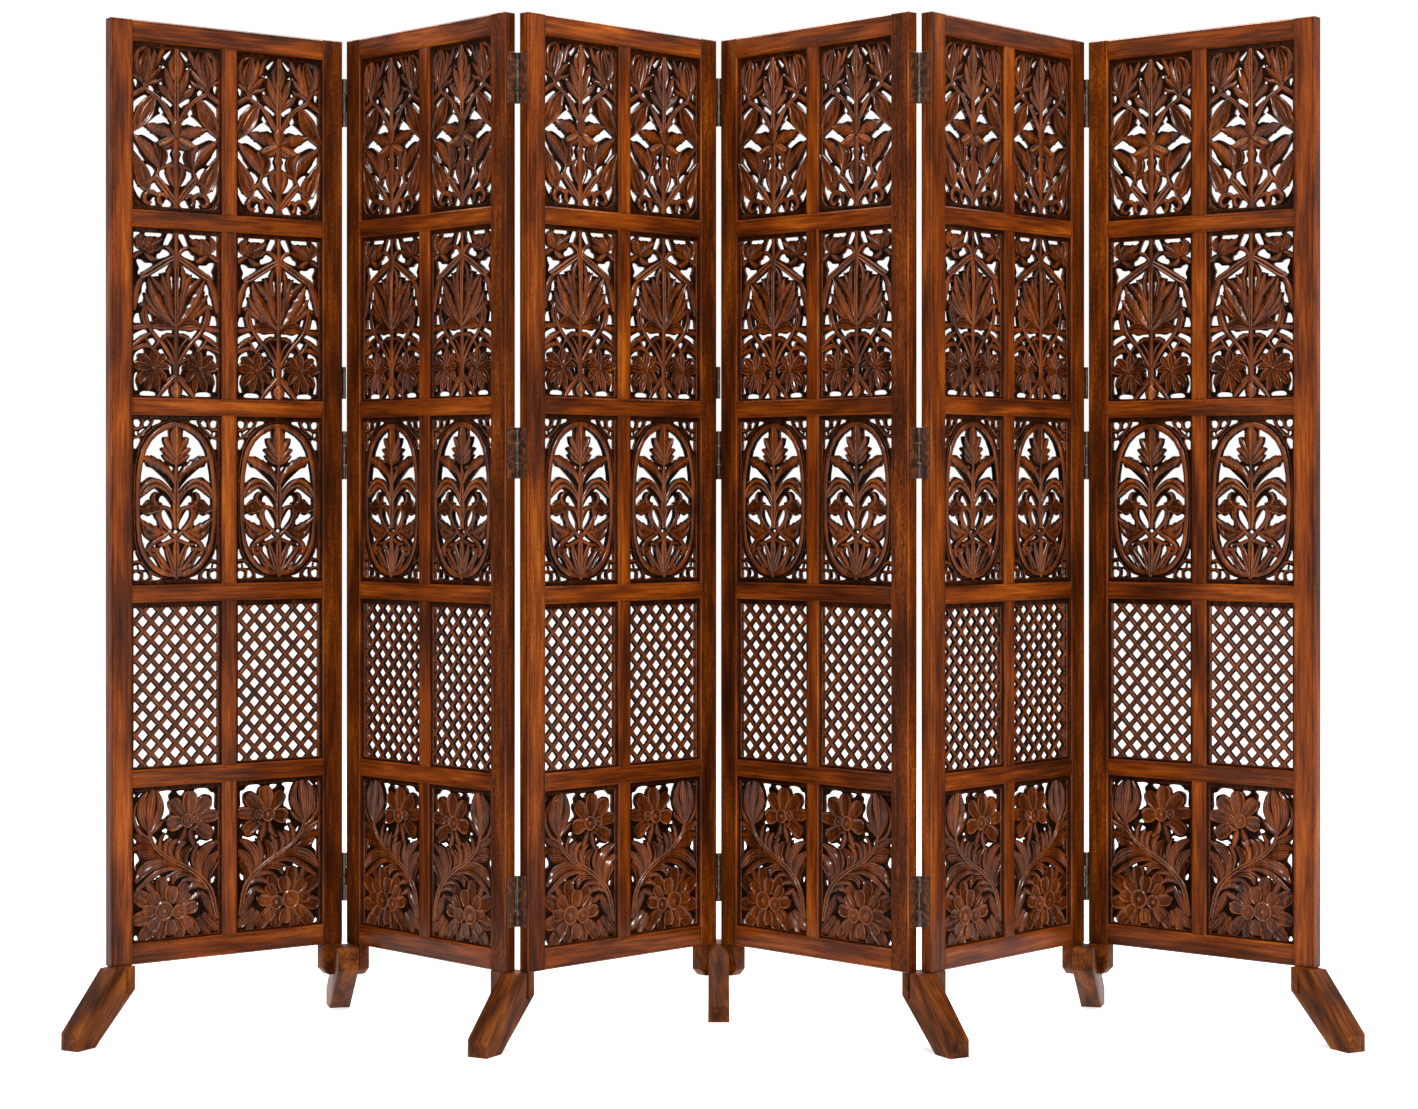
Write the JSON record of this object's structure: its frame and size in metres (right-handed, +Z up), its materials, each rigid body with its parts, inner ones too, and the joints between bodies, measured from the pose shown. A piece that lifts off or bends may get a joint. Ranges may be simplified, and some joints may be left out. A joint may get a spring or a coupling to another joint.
{
  "type": "folding screen",
  "caption": "Folding room screen: hinged panels with pierced floral and lattice carving in a plain hardwood frame, standing in a zigzag on splayed wooden feet.",
  "frame": {"origin": "on the floor, under the middle of the opened screen", "axes": "+X runs along the screen from its left end to its right as seen from the front, +Y points to the back and +Z up"},
  "size_m": [2.4624, 0.594, 1.9693],
  "materials": {
    "frame_wood": "polished reddish-brown hardwood, semi-gloss lacquer",
    "carved_wood": "carved reddish-brown hardwood, lacquered, darker in the hollows",
    "foot_wood": "greyer brown hardwood, semi-gloss lacquer",
    "iron": "dark unpolished steel"
  },
  "bodies": {
    "panel_1": {"panel_1_left_stile": "frame_wood", "panel_1_right_stile": "frame_wood", "panel_1_carved_grille": "carved_wood", "fold_1_2_top_hinge_pin_leaf": "iron", "fold_1_2_middle_hinge_pin_leaf": "iron", "fold_1_2_bottom_hinge_pin_leaf": "iron", "fold_1_2_keeper": "iron", "left_end_foot": "foot_wood"},
    "panel_2": {"panel_2_left_stile": "frame_wood", "panel_2_right_stile": "frame_wood", "panel_2_carved_grille": "carved_wood", "fold_1_2_top_hinge_free_leaf": "iron", "fold_1_2_middle_hinge_free_leaf": "iron", "fold_1_2_bottom_hinge_free_leaf": "iron", "fold_2_3_top_hinge_pin_leaf": "iron", "fold_2_3_middle_hinge_pin_leaf": "iron", "fold_2_3_bottom_hinge_pin_leaf": "iron", "fold_1_2_foot": "foot_wood"},
    "panel_3": {"panel_3_left_stile": "frame_wood", "panel_3_right_stile": "frame_wood", "panel_3_carved_grille": "carved_wood", "fold_2_3_top_hinge_free_leaf": "iron", "fold_2_3_middle_hinge_free_leaf": "iron", "fold_2_3_bottom_hinge_free_leaf": "iron", "fold_3_4_top_hinge_pin_leaf": "iron", "fold_3_4_middle_hinge_pin_leaf": "iron", "fold_3_4_bottom_hinge_pin_leaf": "iron", "fold_3_4_keeper": "iron", "fold_2_3_foot": "foot_wood", "fold_3_4_foot": "foot_wood"},
    "panel_4": {"panel_4_left_stile": "frame_wood", "panel_4_right_stile": "frame_wood", "panel_4_carved_grille": "carved_wood", "fold_3_4_top_hinge_free_leaf": "iron", "fold_3_4_middle_hinge_free_leaf": "iron", "fold_3_4_bottom_hinge_free_leaf": "iron", "fold_4_5_top_hinge_pin_leaf": "iron", "fold_4_5_middle_hinge_pin_leaf": "iron", "fold_4_5_bottom_hinge_pin_leaf": "iron", "fold_4_5_foot": "foot_wood"},
    "panel_5": {"panel_5_left_stile": "frame_wood", "panel_5_right_stile": "frame_wood", "panel_5_carved_grille": "carved_wood", "fold_4_5_top_hinge_free_leaf": "iron", "fold_4_5_middle_hinge_free_leaf": "iron", "fold_4_5_bottom_hinge_free_leaf": "iron", "fold_5_6_top_hinge_pin_leaf": "iron", "fold_5_6_middle_hinge_pin_leaf": "iron", "fold_5_6_bottom_hinge_pin_leaf": "iron", "fold_5_6_keeper": "iron", "fold_5_6_foot": "foot_wood"},
    "panel_6": {"panel_6_left_stile": "frame_wood", "panel_6_right_stile": "frame_wood", "panel_6_carved_grille": "carved_wood", "fold_5_6_top_hinge_free_leaf": "iron", "fold_5_6_middle_hinge_free_leaf": "iron", "fold_5_6_bottom_hinge_free_leaf": "iron", "right_end_foot": "foot_wood"}
  },
  "joints": [
    {"name": "fold_2_3", "type": "hinge", "parent": "panel_3", "child": "panel_2", "pos_m": [-0.37193, -0.1584, 1.1293], "axis": [0, 0, -1], "range_deg": [-91.5, 68.5]},
    {"name": "fold_1_2", "type": "hinge", "parent": "panel_2", "child": "panel_1", "pos_m": [-0.74728, 0.19152, 1.1293], "axis": [0, 0, 1], "range_deg": [-83.5, 76.5]},
    {"name": "fold_3_4", "type": "hinge", "parent": "panel_3", "child": "panel_4", "pos_m": [0.01245, 0.18157, 1.1293], "axis": [0, 0, -1], "range_deg": [-90.5, 69.5]},
    {"name": "fold_4_5", "type": "hinge", "parent": "panel_4", "child": "panel_5", "pos_m": [0.39385, -0.16174, 1.1293], "axis": [0, 0, 1], "range_deg": [-93.5, 66.5]},
    {"name": "fold_5_6", "type": "hinge", "parent": "panel_5", "child": "panel_6", "pos_m": [0.75992, 0.19788, 1.1293], "axis": [0, 0, -1], "range_deg": [-87.5, 72.5]}
  ]
}
